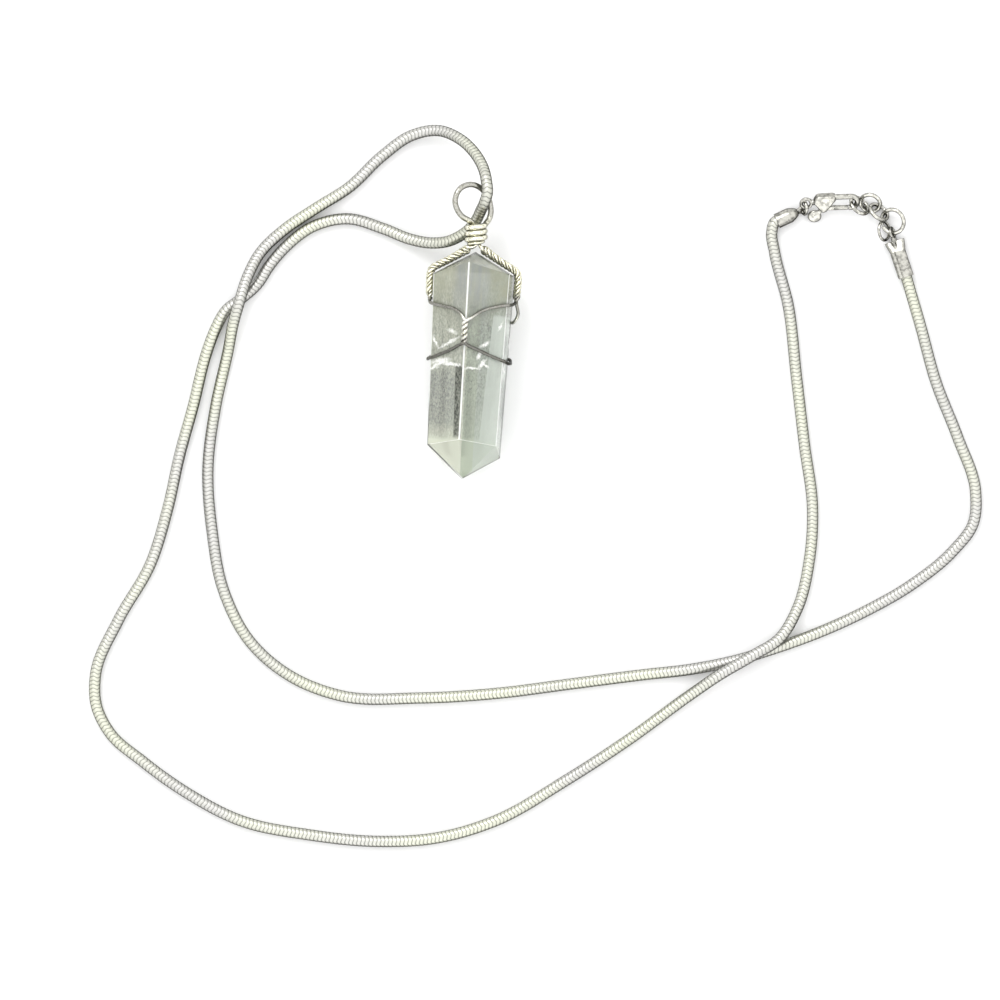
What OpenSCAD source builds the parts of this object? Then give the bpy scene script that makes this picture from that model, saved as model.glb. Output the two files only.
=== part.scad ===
/* [Chain] */
// Diameter of the round snake chain
chain_d = 1.4; // [1.3:0.05:1.5]
// Sides of the tube that stands for the chain
chain_sides = 8; // [8:2:12]

/* [Crystal] */
// Length of the crystal from point to point
point_len = 28; // [27.9:0.1:28.3]
// Corner radius near the lower end, where the crystal is slimmer
point_r_low = 4.9; // [4.7:0.05:5]
// Corner radius at the upper shoulder
point_r_top = 5.42; // [5.3:0.02:5.44]
// Turn of the front edge away from straight up
edge_turn = -7.5; // [-8:0.5:-7]

/* [Wire] */
// Thickness of the wire of the cage
wrap_d = 0.4; // [0.34:0.02:0.42]
// Full turns of the two-strand rope on each side
rope_turns = 4; // [4:1:5]
// Full turns of the twist on the front and back edges
twist_turns = 2; // [1:1:2]
// Thickness of the wire of the bail and the neck
bail_d = 0.7; // [0.6:0.02:0.7]
// Turns of the bail wire round the neck
neck_turns = 2.75; // [2:0.25:2.75]

/* [Clasp] */
// Thickness of the hook of the claw
hook_d = 0.68; // [0.6:0.02:0.7]
// Thickness of the housing that holds the gate
housing_t = 1.15; // [1.1:0.05:1.2]
// Diameter of the pivot pin
pin_d = 0.36; // [0.3:0.02:0.38]
// Diameter of the thumb tab
tab_d = 1.7; // [1.5:0.1:1.8]
// Wire of the jump rings that join the clasp
ring_d = 0.49; // [0.4:0.01:0.5]

/* [Hidden] */
$fn = 48;

// The chain's route from the left cap, round the outer loop, through the bail,
// round the inner loop and up to the right cap. The floor is z = 0.
route = [
    [30.05, 32.8, 0.97], [29.4, 32.5, 0.93], [29.0, 31.3, 0.85], [29.3, 29.0, 0.8],
    [31.0, 22.3, 0.8], [32.0, 13.7, 0.8], [33.0, 5.2, 0.8], [34.0, -2.8, 0.8],
    [33.6, -9.0, 0.8], [32.1, -15.0, 1.1], [29.8, -18.7, 1.9], [26.6, -20.7, 2.4],
    [22.5, -23.1, 2.0], [19.0, -25.5, 1.1], [11.6, -30.9, 0.8], [3.6, -36.1, 0.8],
    [-5.0, -41.0, 0.8], [-12.3, -43.1, 0.8], [-19.1, -43.5, 0.8], [-27.7, -42.7, 0.8],
    [-36.3, -40.9, 0.8], [-43.0, -37.4, 0.8], [-48.3, -33.6, 0.8], [-52.2, -30.2, 0.8],
    [-53.9, -26.7, 0.8], [-54.0, -23.2, 0.8], [-51.2, -16.4, 0.8], [-47.3, -9.6, 0.8],
    [-45.1, -2.6, 0.8], [-43.7, 3.7, 0.8], [-42.0, 9.9, 0.8], [-40.2, 16.9, 0.8],
    [-39.2, 19.5, 0.8], [-38.0, 21.6, 0.8], [-36.1, 23.1, 0.8], [-34.2, 24.8, 0.8],
    [-32.6, 27.2, 0.8], [-30.5, 29.6, 0.8], [-27.4, 31.9, 0.8], [-23.1, 32.9, 0.8],
    [-18.7, 31.7, 0.8], [-15.4, 30.4, 1.4], [-12.7, 29.9, 2.5], [-10.7, 30.1, 3.5],
    [-9.3, 30.7, 4.2], [-8.2, 31.5, 4.8], [-7.3, 32.6, 5.65], [-6.7, 33.8, 6.7],
    [-6.2, 34.9, 7.8], [-5.9, 36.0, 8.18], [-6.0, 37.3, 8.0], [-6.4, 39.0, 6.9],
    [-7.4, 40.8, 5.5], [-9.4, 42.7, 3.7], [-12.0, 43.7, 2.1], [-15.2, 43.1, 1.1],
    [-18.8, 40.6, 0.8], [-22.8, 36.8, 0.8], [-26.9, 34.2, 0.8], [-30.9, 31.5, 0.8],
    [-33.7, 28.8, 0.9], [-35.3, 25.8, 1.8], [-36.3, 22.7, 2.4], [-37.1, 19.9, 1.8],
    [-37.7, 16.8, 0.9], [-39.2, 10.1, 0.8], [-40.2, 2.1, 0.8], [-39.7, -5.3, 0.8],
    [-38.2, -12.9, 0.8], [-35.0, -19.0, 0.8], [-30.1, -23.2, 0.8], [-24.0, -25.6, 0.8],
    [-14.2, -25.9, 0.8], [-4.4, -25.3, 0.8], [4.2, -24.2, 0.8], [12.8, -23.1, 0.8],
    [19.6, -22.3, 0.8], [24.5, -21.3, 0.8], [28.8, -20.0, 0.8], [33.9, -18.2, 0.8],
    [40.4, -15.3, 0.8], [46.6, -11.7, 0.8], [51.2, -7.9, 0.8], [53.7, -4.5, 0.8],
    [54.0, -0.6, 0.8], [51.8, 6.1, 0.8], [49.1, 13.0, 0.8], [47.2, 19.9, 0.8],
    [45.35, 26.26, 0.9]];
// The ring of the route at which the two halves of the chain meet, on the bail
meet = 50;

// Where the crystal's lower tip lies, and how the pendant lies on the floor
tip_at = [-9.0, 0.9, 4.7];
lean = 3.4;
rise = 4.8;

// Each edge of the crystal: lower end, upper end. The front edge is first,
// and the rest follow to the right.
edge_ends = [[5.3, 27.1], [4.6, 25.7], [2.7, 25.1], [2.2, 25.5], [2.9, 25.3], [4.2, 25.2]];
taper_from = 4;
taper_to = 25.4;

gap = 0.05;
wire_off = wrap_d / 2 + gap;

function unit(v) = v / norm(v);
function mix(a, b, t) = a + t * (b - a);

// Directions of a path at its points, as on an arc through each three of them
function directions(p) = [for (i = [0 : len(p) - 1])
    i == 0 ? unit(p[1] - p[0]) :
    i == len(p) - 1 ? unit(p[i] - p[i - 1]) :
    unit(unit(p[i] - p[i - 1]) * norm(p[i + 1] - p[i])
        + unit(p[i + 1] - p[i]) * norm(p[i] - p[i - 1]))];

// A smooth curve through the points, in n steps between each two of them
function smooth(p, n) = let (t = directions(p)) [
    for (i = [0 : len(p) - 2]) let (d = norm(p[i + 1] - p[i])) for (k = [0 : n - 1])
        let (s = k / n, r = 1 - s)
        r * r * (1 + 2 * s) * p[i] + s * s * (3 - 2 * s) * p[i + 1]
            + d * s * r * (r * t[i] - s * t[i + 1]),
    p[len(p) - 1]];

// Lengths along a path from its start to each point
function lengths(p) = [for (i = 0, s = 0; i < len(p);
    s = s + (i < len(p) - 1 ? norm(p[i + 1] - p[i]) : 0), i = i + 1) s];

// Side directions of a tube, carried along the path without a twist
function square_to(v, t) = unit(v - (v * t) * t);
function carried(t, first) = [for (i = 0, s = square_to(first, t[0]); i < len(t);
    i = i + 1, s = i < len(t) ? square_to(s, t[i]) : s) s];

// A tube of n sides on the rings from one index to another of a path
module tube(p, d, n, from, to, first = [0, 0, 1]) {
    t = directions(p);
    s = carried(t, first);
    rings = to - from + 1;
    points = [for (i = [from : to]) let (b = cross(t[i], s[i])) for (k = [0 : n - 1])
        p[i] + d / 2 * (cos(360 * k / n) * s[i] + sin(360 * k / n) * b)];
    walls = [for (i = [0 : rings - 2]) for (k = [0 : n - 1])
        let (a = i * n + k, b = i * n + (k + 1) % n)
        each [[a, a + n, b], [b, a + n, b + n]]];
    ends = [[for (k = [0 : n - 1]) k], [for (k = [n - 1 : -1 : 0]) (rings - 1) * n + k]];
    polyhedron(points, concat(walls, ends), convexity = 10);
}

module whole_tube(p, d, n, first = [0, 0, 1]) {
    tube(p, d, n, 0, len(p) - 1, first);
}

module chain_outer() {
    color("silver") tube(route, chain_d, chain_sides, 0, meet);
}

module chain_inner() {
    color("silver") tube(route, chain_d, chain_sides, meet, len(route) - 1);
}

// The pendant's own frame: x across, y up the crystal, z towards the viewer
module pendant() {
    translate(tip_at) rotate([rise, 0, -lean]) children();
}

// A place on one of the crystal's edges, pushed out by a distance
function edge_angle(k) = edge_turn + 60 * k;
function radius_at(y) = mix(point_r_low, point_r_top, (y - taper_from) / (taper_to - taper_from));
function out(angle) = [sin(angle), 0, cos(angle)];
function on_edge(k, y) = radius_at(y) * out(edge_angle(k)) + [0, y, 0];

module quartz_point() {
    low = [for (k = [0 : 5]) on_edge(k, edge_ends[k][0])];
    high = [for (k = [0 : 5]) on_edge(k, edge_ends[k][1])];
    sides = [for (k = [0 : 5]) let (n = (k + 1) % 6) each [[k, 6 + n, n], [k, 6 + k, 6 + n],
        [12, k, n], [13, 6 + n, 6 + k]]];
    color([0.86, 0.9, 0.86, 0.7]) pendant()
        polyhedron(concat(low, high, [[0, 0, 0], [0, point_len, 0]]), sides, convexity = 2);
}

// The neck's own frame stands on top of the crystal and points up in the view
neck_y = 28.9;
function in_neck(p) = [p[0] * cos(lean) - p[1] * sin(lean),
    neck_y + p[0] * sin(lean) + p[1] * cos(lean), p[2]];

// The bail's loop leans about the neck's axis, so its right side is lower
loop_lean = 28;
function in_loop(x, y) = [x, y, -x * tan(loop_lean)];
neck_r = 1.08;
neck_top = 2.38;
neck_pitch = bail_d + 0.02;
loop_points = [[-0.34, 0.3, 0], [-0.34, 1.2, 0], [-0.34, 2.0, 0], [-0.48, 2.6, 0.08],
    in_loop(-0.93, 3.02), in_loop(-1.55, 3.4), in_loop(-2.15, 4.1), in_loop(-2.54, 5.5),
    in_loop(-2.0, 6.85), in_loop(-0.75, 7.38), in_loop(0.5, 6.95), in_loop(1.35, 5.9),
    in_loop(1.76, 4.7), in_loop(1.78, 3.7), [1.58, 3.05, -0.8], [1.25, 2.62, -0.42]];

module bail() {
    steps = 14 * neck_turns;
    coil = [for (i = [0 : steps]) let (a = 360 * i / 14)
        [neck_r * cos(a), neck_top - neck_pitch * i / 14, neck_r * sin(a)]];
    path = concat(smooth(loop_points, 3), coil);
    color("gainsboro") pendant() whole_tube([for (p = path) in_neck(p)], bail_d, 8);
}

// The rope on the left side: its centre line from the neck down the crystal
rope_points = [[-0.75, 28.48, 0.05], [-1.35, 28.07, 0.1], [-2.5, 27.33, 0.25], [-3.65, 26.64, 0.4],
    [-4.5, 26.17, 0.5], [-5.12, 25.76, 0.5], [-5.38, 25.05, 0.5], [-5.38, 24.2, 0.5],
    [-5.34, 23.2, 0.5], [-5.3, 22.3, 0.5]];
rope_r = wrap_d / 2 + 0.08;
// The two strands are further apart near the neck
rope_fan = 0.16;
rope_fan_to = 3.2;

function strand(phase) = let (c = smooth(rope_points, 5), t = directions(c), s = lengths(c),
    whole = s[len(s) - 1]) [for (i = [0 : len(c) - 1])
    let (side = square_to([0, 0, 1], t[i]), a = phase + 360 * rope_turns * s[i] / whole,
        r = rope_r + rope_fan * pow(max(0, 1 - s[i] / rope_fan_to), 2))
    c[i] + r * (cos(a) * side + sin(a) * cross(t[i], side))];

// The wire bends round an edge of the crystal in three steps
function round_edge(k, y, step) = [for (j = [-1 : 1])
    on_edge(k, y + step * j) + wire_off * out(edge_angle(k) + 30 * j)];
// A place on the face between edge k and the next, t of the way across
function on_face(k, t, y, lift = 0) = mix(on_edge(k, y), on_edge(k + 1, y), t)
    + (wire_off + lift) * out(edge_angle(k) + 30);

// One wire's stretch of the twist on an edge, from top to bottom. At 90 degrees
// the wire is in front of the other one, at 270 between it and the crystal.
twist_top = 19.9;
twist_low = 17.2;
twist_r = wrap_d / 2 + 0.03;
twist_steps = 14 * twist_turns;
function twist(k, from, to) = [for (i = [0 : twist_steps])
    let (a = mix(from, to, i / twist_steps), y = mix(twist_top, twist_low, i / twist_steps))
    on_edge(k, y) + (twist_r + wire_off) * out(edge_angle(k))
        + twist_r * (cos(a) * out(edge_angle(k) + 90) + sin(a) * out(edge_angle(k)))];

function reversed(p) = [for (i = [len(p) - 1 : -1 : 0]) p[i]];

// The left wire: down the rope, over the front, round the right side to the
// back, and up the rope again. A slack wire bulges by bow and starts lower.
function cage(bow, drop) = concat(
    strand(0),
    [[-5.28 - bow / 4, 21.98 - drop / 10, 0.98], [-5.24 - bow, 21.74 - drop / 2, 1.2],
        [-5.2 - bow / 2, 21.7 - drop * 0.85, 1.6]],
    round_edge(5, 21.64 - drop, -0.03),
    [on_face(5, 0.33, 21.4 - drop * 0.8), on_face(5, 0.74, 21.1 - drop * 0.5),
        on_face(5, 0.9, 20.6 - drop * 0.2)],
    twist(0, 270, 270 + 360 * twist_turns),
    [on_face(0, 0.12, 16.8), on_face(0, 0.45, 16.1), on_face(0, 0.8, 15.42)],
    round_edge(1, 15.05, -0.04),
    round_edge(2, 14.8, 0.03),
    [on_face(2, 0.3, 15.4), on_face(2, 0.65, 16.2), on_face(2, 0.9, 16.8, 0.35)],
    reversed(twist(3, 70, 110 + 360 * twist_turns)),
    [on_face(3, 0.1, 20.35, 0.35), on_face(3, 0.35, 21.1), on_face(3, 0.8, 21.8)],
    round_edge(4, 21.93, 0),
    [[-5.1, 21.96, -0.55], [-5.25, 22.04, 0]],
    reversed(strand(180)));

function half_turn(p) = [-p[0], p[1], -p[2]];
// Where the four ends of the two wires stand inside the neck
function in_bundle(angle, y) = in_neck([0.49 * cos(angle), y, 0.49 * sin(angle)]);

module wrap_wire(path, first_angle, last_angle) {
    ends_up = 1.95;
    whole = concat([in_bundle(first_angle, ends_up), in_bundle(first_angle, 0.9),
        in_bundle(first_angle, 0)], path, [in_bundle(last_angle, 0),
        in_bundle(last_angle, 0.9), in_bundle(last_angle, ends_up)]);
    color("silver") pendant() whole_tube(whole, wrap_d, 6, [1, 0, 0]);
}

module wrap_wire_left() {
    wrap_wire(cage(0, 0), 90, -90);
}

module wrap_wire_right() {
    wrap_wire([for (p = cage(0.4, 2.2)) half_turn(p)], -30, 30);
}

// A ring of wire: its middle, its tilt from lying flat, the way it tilts,
// the radius of the wire's centre line and the wire's thickness
module wire_ring(middle, tilt, toward, r, d, open = 8) {
    translate(middle) rotate([0, tilt, toward])
        rotate_extrude(angle = 360 - open) translate([r, 0]) circle(d = d);
}

module ring_eye() {
    color("silver") wire_ring([32.93, 34.27, 1.37], 67, -173, 0.8, 0.42);
}

module ring_hook() {
    color("silver") wire_ring([39.74, 34.51, 1.35], 53, 48, 1.225, ring_d);
}

module ring_second() {
    color("silver") wire_ring([41.07, 34.82, 1.02], 36, -108, 1.225, ring_d);
}

module ring_third() {
    color("silver") wire_ring([42.12, 33.73, 1.26], 55, 51, 1.225, ring_d);
}

module ring_end() {
    color("silver") wire_ring([43.81, 32.59, 1.22], 27, -152, 1.475, ring_d);
}

module ring_spare() {
    color("silver") wire_ring([42.75, 31.42, 1.17], 56, 4, 1.15, 0.36);
}

// A round barrel takes the chain's left end, with an eye on a short neck
cap_left_at = [29.6, 32.6, 0.97];
cap_left_turn = 24.7;
cap_bore_d = chain_d + 0.18;
cap_left_d = 1.86;
module end_cap_left() {
    color("silver") {
        translate(cap_left_at) rotate([0, 0, cap_left_turn]) rotate([0, 90, 0])
            rotate_extrude() polygon([[0, 0.55], [cap_bore_d / 2, 0.55], [cap_bore_d / 2, 0],
                [cap_left_d / 2, 0], [cap_left_d / 2, 1.75], [0.72, 2.35],
                [0.5, 2.7], [0.36, 2.8], [0, 2.8]]);
        wire_ring([32.59, 33.98, 0.72], 62, -62, 0.55, 0.35, 0);
    }
}

// A folded crimp takes the chain's right end: a flat sleeve with a seam, a
// rolled lip along one edge and a mouth that spreads and ends in an eye
cap_right_at = [45.5, 25.76, 0.9];
cap_right_turn = 108.4;
module end_cap_right() {
    color("silver") {
        translate(cap_right_at) rotate([0, 0, cap_right_turn]) {
            difference() {
                union() {
                    across(0, 3.3) crimp_section(1.86, 1.7);
                    translate([0.1, 0.76, 0.44]) rotate([0, 90, 0]) cylinder(h = 3.1, d = 0.5);
                    hull() {
                        across(3.2, 0.1) crimp_section(1.86, 1.7);
                        across(4.5, 0.15) crimp_section(2.5, 0.9);
                    }
                }
                translate([-1, 0, 0]) rotate([0, 90, 0]) cylinder(h = 1.6, d = chain_d + 0.12);
                translate([-1, 0.36, 0.74]) cube([4.4, 0.1, 1]);
                hull() for (x = [3.4, 4.9]) translate([x, 0.15, 0.98 - 0.27 * (x - 3.4)])
                    sphere(0.12 + 0.24 * (x - 3.4), $fn = 16);
            }
            translate([4.5, 0, 0]) rotate([0, 90, 0]) cylinder(h = 0.5, d = 0.72);
        }
        wire_ring([43.76, 31.2, 0.8], 67, 17, 0.62, 0.38, 0);
    }
}

module across(from, length) {
    translate([from, 0, 0]) rotate([90, 0, 90]) linear_extrude(length) children();
}

module crimp_section(wide, high) {
    r = 0.38;
    hull() for (x = [-1, 1]) for (y = [-1, 1])
        translate([x * (wide / 2 - r), y * (high / 2 - r)]) circle(r);
}

// The clasp's own frame: the middle of its eye, x along the clasp, z square to
// the plane of its hook
clasp_at = [33.19, 34.78, 1.95];
clasp_turn = 2;
clasp_roll = 34;
module clasp() {
    translate(clasp_at) rotate([0, 0, clasp_turn]) rotate([clasp_roll, 0, 0]) children();
}

// The gate turns about the pivot pin and meets the hook's lip in an arc
pivot = [2.15, -0.72];
hook_r = 0.78;
hook_end = 5.5;
gate_reach = 2.97;
gate_d = 0.6;
slot_t = 0.48;
lever_t = slot_t - 0.06;
housing_corners = [[1.35, 0.3], [1.6, 0.65], [2.15, -0.72], [3.2, 0.7]];
corner_r = 0.45;

module pivot_post(h, d) {
    translate([pivot[0], pivot[1], -h / 2]) cylinder(h = h, d = d);
}

module along_x(from, to, y, d) {
    translate([from, y, 0]) rotate([0, 90, 0]) cylinder(h = to - from, d = d);
}

module clasp_body() {
    color("silver") clasp() {
        rotate_extrude() translate([0.62, 0]) circle(d = 0.42);
        along_x(0.72, 1.4, 0.1, 0.7);
        difference() {
            housing();
            translate([1.2, -1.6, -slot_t / 2]) cube([3, 1.95, slot_t]);
        }
        pivot_post(housing_t - 0.1, pin_d);
        along_x(2.9, hook_end, hook_r, hook_d);
        translate([hook_end, 0, 0]) rotate([0, 0, -90])
            rotate_extrude(angle = 180) translate([hook_r, 0]) circle(d = hook_d);
        difference() {
            along_x(4.9, hook_end, -hook_r, hook_d);
            pivot_post(2, 2 * gate_reach + 0.1);
        }
    }
}

module housing() {
    hull() for (c = housing_corners) translate([c[0], c[1], 0]) {
        cylinder(h = housing_t - 0.26, r = corner_r, center = true);
        cylinder(h = housing_t, r = corner_r - 0.13, center = true);
    }
}

tab_at = [0.98, -1.92];
tab_t = 0.46;
module clasp_lever() {
    color("silver") clasp() difference() {
        union() {
            pivot_post(lever_t, 0.84);
            translate([pivot[0], -1.02, -lever_t / 2]) cube([1.6, 0.5, lever_t]);
            intersection() {
                along_x(3.45, 5.3, -hook_r, gate_d);
                pivot_post(2, 2 * gate_reach);
            }
            translate([pivot[0], pivot[1], -lever_t / 2]) rotate([0, 0, -134.3])
                translate([0, -0.25, 0]) cube([1.2, 0.5, lever_t]);
            translate([tab_at[0], tab_at[1], 0]) thumb_tab();
        }
        pivot_post(2, pin_d + 0.06);
    }
}

module thumb_tab() {
    rotate_extrude() {
        translate([0, -tab_t / 2]) square([tab_d / 2 - tab_t / 2, tab_t]);
        translate([tab_d / 2 - tab_t / 2, 0]) circle(d = tab_t);
    }
}

quartz_point();
bail();
wrap_wire_left();
wrap_wire_right();
chain_outer();
chain_inner();
end_cap_left();
end_cap_right();
clasp_body();
clasp_lever();
ring_eye();
ring_hook();
ring_second();
ring_third();
ring_end();
ring_spare();
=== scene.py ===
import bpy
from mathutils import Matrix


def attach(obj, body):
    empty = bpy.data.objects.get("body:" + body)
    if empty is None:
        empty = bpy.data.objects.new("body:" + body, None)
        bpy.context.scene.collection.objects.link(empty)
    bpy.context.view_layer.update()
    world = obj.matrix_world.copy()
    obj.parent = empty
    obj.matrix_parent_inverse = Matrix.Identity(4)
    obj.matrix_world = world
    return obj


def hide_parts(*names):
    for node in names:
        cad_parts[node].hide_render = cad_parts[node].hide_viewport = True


bl_info = {
    "name": "Quartz Crystal Necklace",
    "version": (1, 0, 0),
    "blender": (4, 5, 0),
    "location": "View3D > Sidebar > Necklace",
    "description": "Makes a wire-wrapped quartz point on a silver snake chain with a claw clasp",
    "category": "Add Mesh",
}

import bmesh
import bpy
import numpy as np
from mathutils import Matrix, Vector

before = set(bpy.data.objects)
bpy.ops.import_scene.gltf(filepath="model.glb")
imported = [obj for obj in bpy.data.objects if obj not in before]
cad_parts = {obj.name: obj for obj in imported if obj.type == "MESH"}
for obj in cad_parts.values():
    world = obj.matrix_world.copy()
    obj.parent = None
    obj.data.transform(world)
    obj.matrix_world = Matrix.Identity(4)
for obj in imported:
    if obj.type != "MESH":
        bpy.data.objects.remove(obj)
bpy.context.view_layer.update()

MM = 0.001
NECKLACE = "necklace"
LEVER = "lever"

# The chain's route in metres: from the left cap, round the outer loop, through
# the bail, round the inner loop and up to the right cap. The floor is z = 0.
ROUTE = MM * np.array([
    (30.05, 32.8, 0.97), (29.4, 32.5, 0.93), (29.0, 31.3, 0.85), (29.3, 29.0, 0.8),
    (31.0, 22.3, 0.8), (32.0, 13.7, 0.8), (33.0, 5.2, 0.8), (34.0, -2.8, 0.8),
    (33.6, -9.0, 0.8), (32.1, -15.0, 1.1), (29.8, -18.7, 1.9), (26.6, -20.7, 2.4),
    (22.5, -23.1, 2.0), (19.0, -25.5, 1.1), (11.6, -30.9, 0.8), (3.6, -36.1, 0.8),
    (-5.0, -41.0, 0.8), (-12.3, -43.1, 0.8), (-19.1, -43.5, 0.8), (-27.7, -42.7, 0.8),
    (-36.3, -40.9, 0.8), (-43.0, -37.4, 0.8), (-48.3, -33.6, 0.8), (-52.2, -30.2, 0.8),
    (-53.9, -26.7, 0.8), (-54.0, -23.2, 0.8), (-51.2, -16.4, 0.8), (-47.3, -9.6, 0.8),
    (-45.1, -2.6, 0.8), (-43.7, 3.7, 0.8), (-42.0, 9.9, 0.8), (-40.2, 16.9, 0.8),
    (-39.2, 19.5, 0.8), (-38.0, 21.6, 0.8), (-36.1, 23.1, 0.8), (-34.2, 24.8, 0.8),
    (-32.6, 27.2, 0.8), (-30.5, 29.6, 0.8), (-27.4, 31.9, 0.8), (-23.1, 32.9, 0.8),
    (-18.7, 31.7, 0.8), (-15.4, 30.4, 1.4), (-12.7, 29.9, 2.5), (-10.7, 30.1, 3.5),
    (-9.3, 30.7, 4.2), (-8.2, 31.5, 4.8), (-7.3, 32.6, 5.65), (-6.7, 33.8, 6.7),
    (-6.2, 34.9, 7.8), (-5.9, 36.0, 8.18), (-6.0, 37.3, 8.0), (-6.4, 39.0, 6.9),
    (-7.4, 40.8, 5.5), (-9.4, 42.7, 3.7), (-12.0, 43.7, 2.1), (-15.2, 43.1, 1.1),
    (-18.8, 40.6, 0.8), (-22.8, 36.8, 0.8), (-26.9, 34.2, 0.8), (-30.9, 31.5, 0.8),
    (-33.7, 28.8, 0.9), (-35.3, 25.8, 1.8), (-36.3, 22.7, 2.4), (-37.1, 19.9, 1.8),
    (-37.7, 16.8, 0.9), (-39.2, 10.1, 0.8), (-40.2, 2.1, 0.8), (-39.7, -5.3, 0.8),
    (-38.2, -12.9, 0.8), (-35.0, -19.0, 0.8), (-30.1, -23.2, 0.8), (-24.0, -25.6, 0.8),
    (-14.2, -25.9, 0.8), (-4.4, -25.3, 0.8), (4.2, -24.2, 0.8), (12.8, -23.1, 0.8),
    (19.6, -22.3, 0.8), (24.5, -21.3, 0.8), (28.8, -20.0, 0.8), (33.9, -18.2, 0.8),
    (40.4, -15.3, 0.8), (46.6, -11.7, 0.8), (51.2, -7.9, 0.8), (53.7, -4.5, 0.8),
    (54.0, -0.6, 0.8), (51.8, 6.1, 0.8), (49.1, 13.0, 0.8), (47.2, 19.9, 0.8),
    (45.35, 26.26, 0.9)])
# The point of the route at which the two halves of the chain meet, on the bail
MEET = 50
# Steps of the chain's curve between two points of the route
ROUTE_STEPS = 24
# How far the scales' points run ahead along the chain, in pitches
RIB_SLANT = 0.4
# How finely the chain is cut: rows to each rib, and columns round it
RIB_ROWS = 7
CHAIN_SIDES = 24
# How the chain rolls about its own line, as sines of the length along it: by how much
# in radians, and how long the chain is for each radian of the sine
ROLLS = ((0.5, 17 * MM), (0.3, 7.3 * MM))

# Where the crystal's lower tip lies, how far the pendant leans in the view, and how
# far it rises from its tip to its bail
TIP = MM * np.array([-9.0, 0.9, 4.7])
LEAN = np.radians(3.4)
RISE = np.radians(4.8)


class ChainSettings(bpy.types.PropertyGroup):
    diameter: bpy.props.FloatProperty(
        name="Diameter", description="Thickness of the snake chain over its ribs",
        default=1.4 * MM, unit="LENGTH")
    pitch: bpy.props.FloatProperty(
        name="Rib pitch", description="Distance from one rib of the chain to the next",
        default=0.48 * MM, unit="LENGTH")
    groove: bpy.props.FloatProperty(
        name="Groove depth", description="Depth of the groove between two ribs",
        default=0.07 * MM, unit="LENGTH")
    color: bpy.props.FloatVectorProperty(
        name="Colour", description="Colour of the chain's silver",
        default=(0.69, 0.70, 0.59), size=3, subtype="COLOR")


class CrystalSettings(bpy.types.PropertyGroup):
    tint: bpy.props.FloatVectorProperty(
        name="Tint", description="Faint colour of the quartz",
        default=(0.93, 0.95, 0.92), size=3, subtype="COLOR")
    edge: bpy.props.FloatProperty(
        name="Edge", description="Width of the most worn edges of the crystal",
        default=0.28 * MM, unit="LENGTH")


class WireSettings(bpy.types.PropertyGroup):
    cage: bpy.props.FloatProperty(
        name="Cage wire", description="Thickness of the wire of the cage",
        default=0.4 * MM, unit="LENGTH")
    bail: bpy.props.FloatProperty(
        name="Bail wire", description="Thickness of the wire of the bail and the neck",
        default=0.7 * MM, unit="LENGTH")
    color: bpy.props.FloatVectorProperty(
        name="Colour", description="Colour of the silver wire",
        default=(0.68, 0.67, 0.61), size=3, subtype="COLOR")


class StageSettings(bpy.types.PropertyGroup):
    floor: bpy.props.FloatVectorProperty(
        name="Floor", description="Colour of the floor",
        default=(0.93, 0.93, 0.93), size=3, subtype="COLOR")
    sky: bpy.props.FloatProperty(
        name="Sky", description="Brightness of the soft light from above", default=1.45)
    key: bpy.props.FloatProperty(
        name="Key", description="Power of the key light behind the necklace, in watts",
        default=3.0)
    front: bpy.props.FloatProperty(
        name="Front", description="Power of the low light before the necklace, in watts",
        default=0.5)
    lens: bpy.props.FloatProperty(
        name="Lens", description="Focal length of the camera, in millimetres",
        default=600.0)
    width: bpy.props.FloatProperty(
        name="Field", description="Width of the floor that the camera sees",
        default=122.7 * MM, unit="LENGTH")


def unit(vectors):
    """Each vector divided by its own length."""
    return vectors / np.linalg.norm(vectors, axis=-1, keepdims=True)


def directions(points):
    """Directions at a path's points: at each inner point the directions of the two
    spans beside it, each weighted with the length of the other."""
    spans = np.diff(points, axis=0)
    size = np.linalg.norm(spans, axis=1, keepdims=True)
    along = spans / size
    inner = unit(along[:-1] * size[1:] + along[1:] * size[:-1])
    return np.vstack([along[:1], inner, along[-1:]])


def smooth(points, steps):
    """A curve through the points: in each span the cubic that leaves and enters its
    two points in their directions, with a speed equal to the span's length."""
    heading = directions(points)
    size = np.linalg.norm(np.diff(points, axis=0), axis=1)[:, None, None]
    part = (np.arange(steps) / steps)[None, :, None]
    rest = 1 - part
    curve = (rest * rest * (1 + 2 * part) * points[:-1, None]
             + part * part * (3 - 2 * part) * points[1:, None]
             + size * part * rest * (rest * heading[:-1, None] - part * heading[1:, None]))
    return np.vstack([curve.reshape(-1, 3), points[-1:]])


def lengths(points):
    """Length along a path from its start to each of its points."""
    return np.concatenate([[0], np.cumsum(np.linalg.norm(np.diff(points, axis=0), axis=1))])


def square_to(vectors, heading):
    """What is left of the vectors square to the headings, at unit length."""
    along = np.sum(vectors * heading, axis=-1, keepdims=True)
    return unit(vectors - along * heading)


def carried(heading, first):
    """Side directions that are carried along a path without a twist of their own."""
    sides = [square_to(np.asarray(first, float), heading[0])]
    for direction in heading[1:]:
        sides.append(square_to(sides[-1], direction))
    return np.array(sides)


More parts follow.
